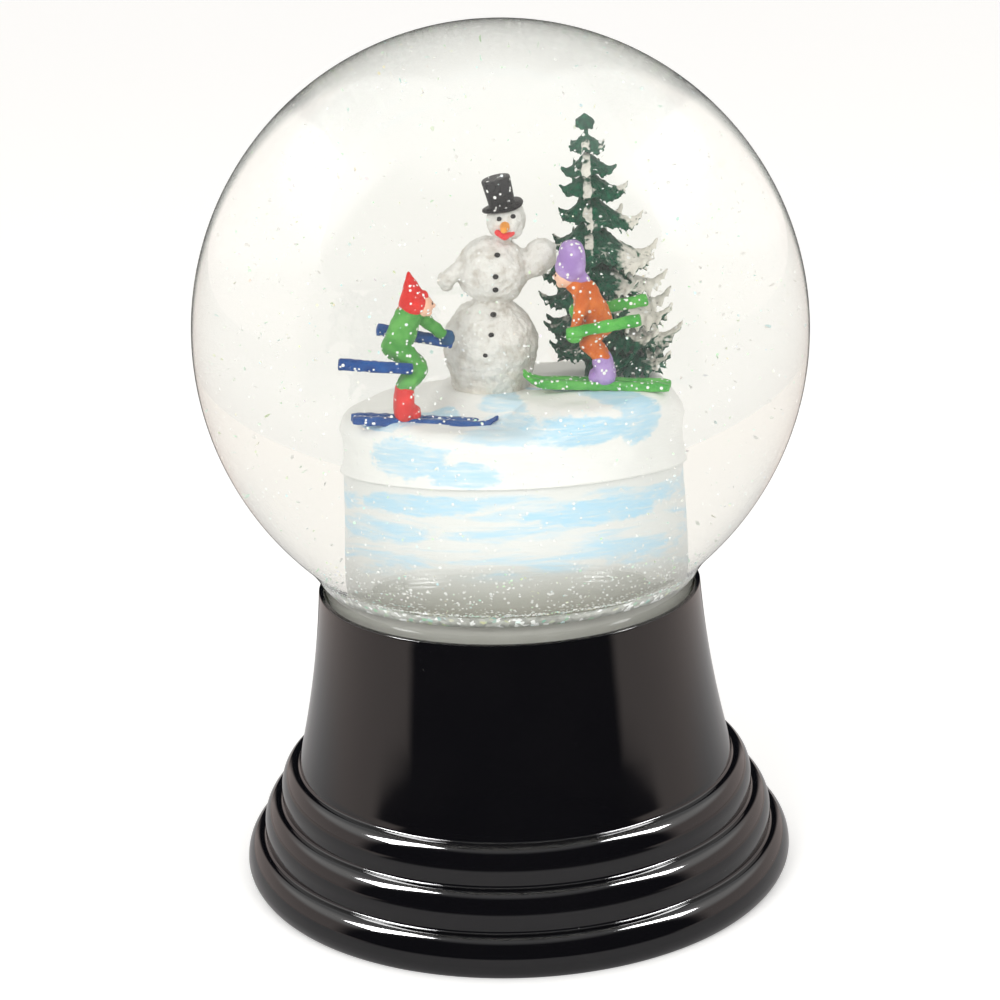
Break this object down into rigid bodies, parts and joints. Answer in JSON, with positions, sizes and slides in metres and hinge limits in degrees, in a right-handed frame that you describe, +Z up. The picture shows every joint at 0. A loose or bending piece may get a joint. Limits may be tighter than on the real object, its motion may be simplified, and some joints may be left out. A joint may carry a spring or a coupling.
{
  "type": "snow globe",
  "caption": "Water-filled glass snow globe with a skiing scene, on a hollow round black base with three stepped beads.",
  "frame": {"origin": "on the table, at the centre of the round base", "axes": "+Z up through the glass ball; the scene faces -Y and +X is to its right as seen from the front"},
  "size_m": [0.08, 0.08, 0.1138],
  "materials": {
    "black_base": "gloss",
    "cover_board": "matte",
    "felt": "matte",
    "clear_glass": "gloss",
    "adhesive": "satin",
    "stopper_rubber": "matte",
    "white_resin": "satin",
    "snow_paint": "matte",
    "snowman_white": "matte",
    "black_paint": "satin",
    "orange_paint": "satin",
    "bark_paint": "satin",
    "spruce_paint": "satin",
    "blue_paint": "satin",
    "red_paint": "satin",
    "green_paint": "satin",
    "skin_paint": "satin",
    "purple_paint": "satin",
    "suit_orange_paint": "satin",
    "mitt_blue_paint": "satin",
    "snow_flakes": "satin",
    "water": "gloss"
  },
  "bodies": {
    "globe": {"base_shell": "black_base", "bottom_cover": "cover_board", "felt_pad": "felt", "glass_globe": "clear_glass", "neck_adhesive": "adhesive", "rubber_stopper": "stopper_rubber", "pedestal": "white_resin", "snow_terrain": "snow_paint", "snowman_body": "snowman_white", "snowman_hat": "black_paint", "snowman_nose": "orange_paint", "snowman_coal": "black_paint", "spruce_trunk": "bark_paint", "spruce_branches": "spruce_paint", "red_cap_skier_skis": "blue_paint", "red_cap_skier_poles": "blue_paint", "red_cap_skier_boots": "red_paint", "red_cap_skier_mitts": "mitt_blue_paint", "red_cap_skier_face": "skin_paint", "red_cap_skier_cap": "red_paint", "red_cap_skier_suit": "green_paint", "purple_cap_skier_skis": "green_paint", "purple_cap_skier_poles": "green_paint", "purple_cap_skier_boots": "purple_paint", "purple_cap_skier_mitts": "green_paint", "purple_cap_skier_face": "skin_paint", "purple_cap_skier_cap": "purple_paint", "purple_cap_skier_suit": "suit_orange_paint", "settled_snow": "snow_flakes", "water_fill": "water"},
    "loose_snow": {"drifting_snow": "snow_flakes"}
  },
  "joints": [
    {"name": "snow_swirl", "type": "hinge", "parent": "globe", "child": "loose_snow", "pos_m": [0, 0, 0.0738], "axis": [0, 0, 1], "continuous": true, "deforming": ["water_fill"]}
  ]
}
